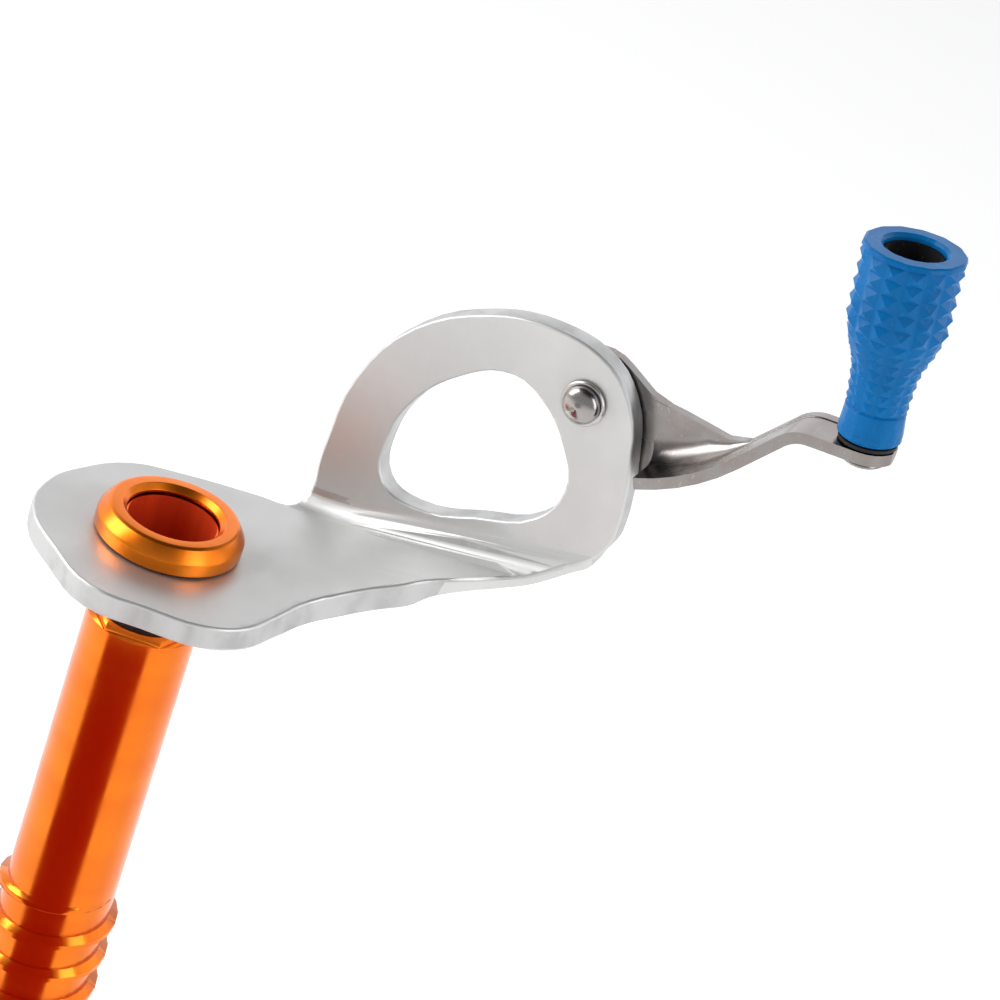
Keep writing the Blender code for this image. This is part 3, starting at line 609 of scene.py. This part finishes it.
# ---- stage, light and camera ---------------------------------------------------------------
AIM = Vector((0.03694, 0.03600, 0.01613))
AZIMUTH = math.radians(16.5)
ELEVATION = math.radians(28.0)
LEAN = math.radians(19.31)
DISTANCE = 0.65
LENS = 150.93
LIT_PLACE = Vector((0.03, 0.02, 0.0))
TIP_LEVEL = cad_box[0][2]
FLOOR_GAP = 0.2 * MM
FLAG_REACH = 48.0 * MM     # of the red card from the tube's axis
FLAG_FOOT = 2.0 * MM       # above the tip's level
FLAG_TOP = -30.0 * MM
FLAG_FIRST = math.radians(-32.0)
FLAG_LAST = math.radians(50.0)


def aimed(place, target, lean=0.0):
    """A placing matrix whose -Z looks from the place at the target, turned about its line of sight."""
    back = (place - target).normalized()
    right = Vector((0, 0, 1)).cross(back).normalized()
    up = back.cross(right)
    turned_right = right * math.cos(lean) + up * math.sin(lean)
    turned_up = back.cross(turned_right)
    matrix = Matrix((turned_right, turned_up, back)).transposed().to_4x4()
    matrix.translation = place
    return matrix


def make_camera():
    data = bpy.data.cameras.new("camera")
    data.lens = LENS
    data.sensor_width = 36.0
    data.clip_start = 0.01
    data.clip_end = 50.0
    camera = bpy.data.objects.new("camera", data)
    bpy.context.scene.collection.objects.link(camera)
    away = Vector((math.sin(AZIMUTH) * math.cos(ELEVATION), -math.cos(AZIMUTH) * math.cos(ELEVATION),
                   math.sin(ELEVATION)))
    camera.matrix_world = aimed(AIM + away * DISTANCE, AIM, LEAN)
    bpy.context.scene.camera = camera


def make_softbox(name, place, size, power):
    data = bpy.data.lights.new(name, "AREA")
    data.shape = "RECTANGLE"
    data.size, data.size_y = size
    data.energy = power
    lamp = bpy.data.objects.new(name, data)
    bpy.context.scene.collection.objects.link(lamp)
    lamp.matrix_world = aimed(Vector(place), LIT_PLACE)
    lamp.visible_camera = False
    return lamp


def stage_object(name, shape, material):
    mesh = bpy.data.meshes.new(name)
    shape.to_mesh(mesh)
    shape.free()
    mesh.materials.append(material)
    thing = bpy.data.objects.new(name, mesh)
    bpy.context.scene.collection.objects.link(thing)
    return thing


def make_floor():
    shape = bmesh.new()
    bmesh.ops.create_circle(shape, cap_ends=True, radius=3.0, segments=96)
    bmesh.ops.translate(shape, verts=shape.verts, vec=(0.0, 0.0, TIP_LEVEL - FLOOR_GAP))
    material, tree, shader, place = start_finish("pale_floor")
    cloud = noise(tree, place, 3.0, 2.0)
    tone = blend_colour(tree, cloud, (0.90, 0.90, 0.90, 1.0), (0.93, 0.93, 0.93, 1.0))
    set_inputs(shader, Base_Color=tone, Roughness=0.9, Specular_IOR_Level=0.1,
               Emission_Color=(1.0, 1.0, 1.0, 1.0), Emission_Strength=0.35)
    stage_object("floor", shape, material)


def make_flag():
    """A small curved red card by the tube that only reflections see: it draws the tube's dark band."""
    shape = bmesh.new()
    ends = [shape.verts.new((0.0, -FLAG_REACH, height)) for height in (TIP_LEVEL + FLAG_FOOT, FLAG_TOP)]
    edge = shape.edges.new(ends)
    first_turn = Matrix.Rotation(FLAG_FIRST, 3, "Z")
    bmesh.ops.rotate(shape, cent=(0, 0, 0), matrix=first_turn, verts=shape.verts)
    bmesh.ops.spin(shape, geom=ends + [edge], axis=(0, 0, 1), cent=(0, 0, 0),
                   angle=FLAG_LAST - FLAG_FIRST, steps=16, use_duplicate=False)
    material, tree, shader, place = start_finish("tube_flag")
    tone = blend_colour(tree, noise(tree, place, 8.0), (0.30, 0.012, 0.008, 1.0),
                        (0.34, 0.016, 0.010, 1.0))
    set_inputs(shader, Base_Color=tone, Roughness=0.9)
    flag = stage_object("tube_flag", shape, material)
    flag.visible_camera = False
    flag.visible_diffuse = False
    flag.visible_shadow = False
    flag.visible_transmission = False


def make_world():
    """A pale room that is darker overhead, so level facets reflect dark and slopes reflect light."""
    world = bpy.data.worlds.new("studio")
    world.use_nodes = True
    tree = world.node_tree
    background = tree.nodes["Background"]
    split = new_node(tree, "ShaderNodeSeparateXYZ")
    set_inputs(split, Vector=tree.nodes.new("ShaderNodeTexCoord").outputs["Generated"])
    ceiling = span(tree, split.outputs["Z"], 0.45, 0.90, 1.0, 0.05)
    behind = span(tree, split.outputs["Y"], -0.6, 0.6, 0.45, 1.30)
    set_inputs(background, Color=(0.98, 0.985, 1.0, 1.0), Strength=maths(tree, "MULTIPLY", ceiling, behind))
    bpy.context.scene.world = world


make_camera()
make_world()
make_floor()
make_flag()
make_softbox("key_left", (-0.75, -0.30, 0.45), (0.5, 0.7), 6.5)
make_softbox("fill_right", (0.95, -0.25, 0.45), (0.5, 0.9), 3.2)
overhead = make_softbox("overhead", (0.0, 0.10, 1.05), (1.0, 0.8), 1.0)
overhead.visible_glossy = False
bpy.context.scene.view_settings.view_transform = "Standard"
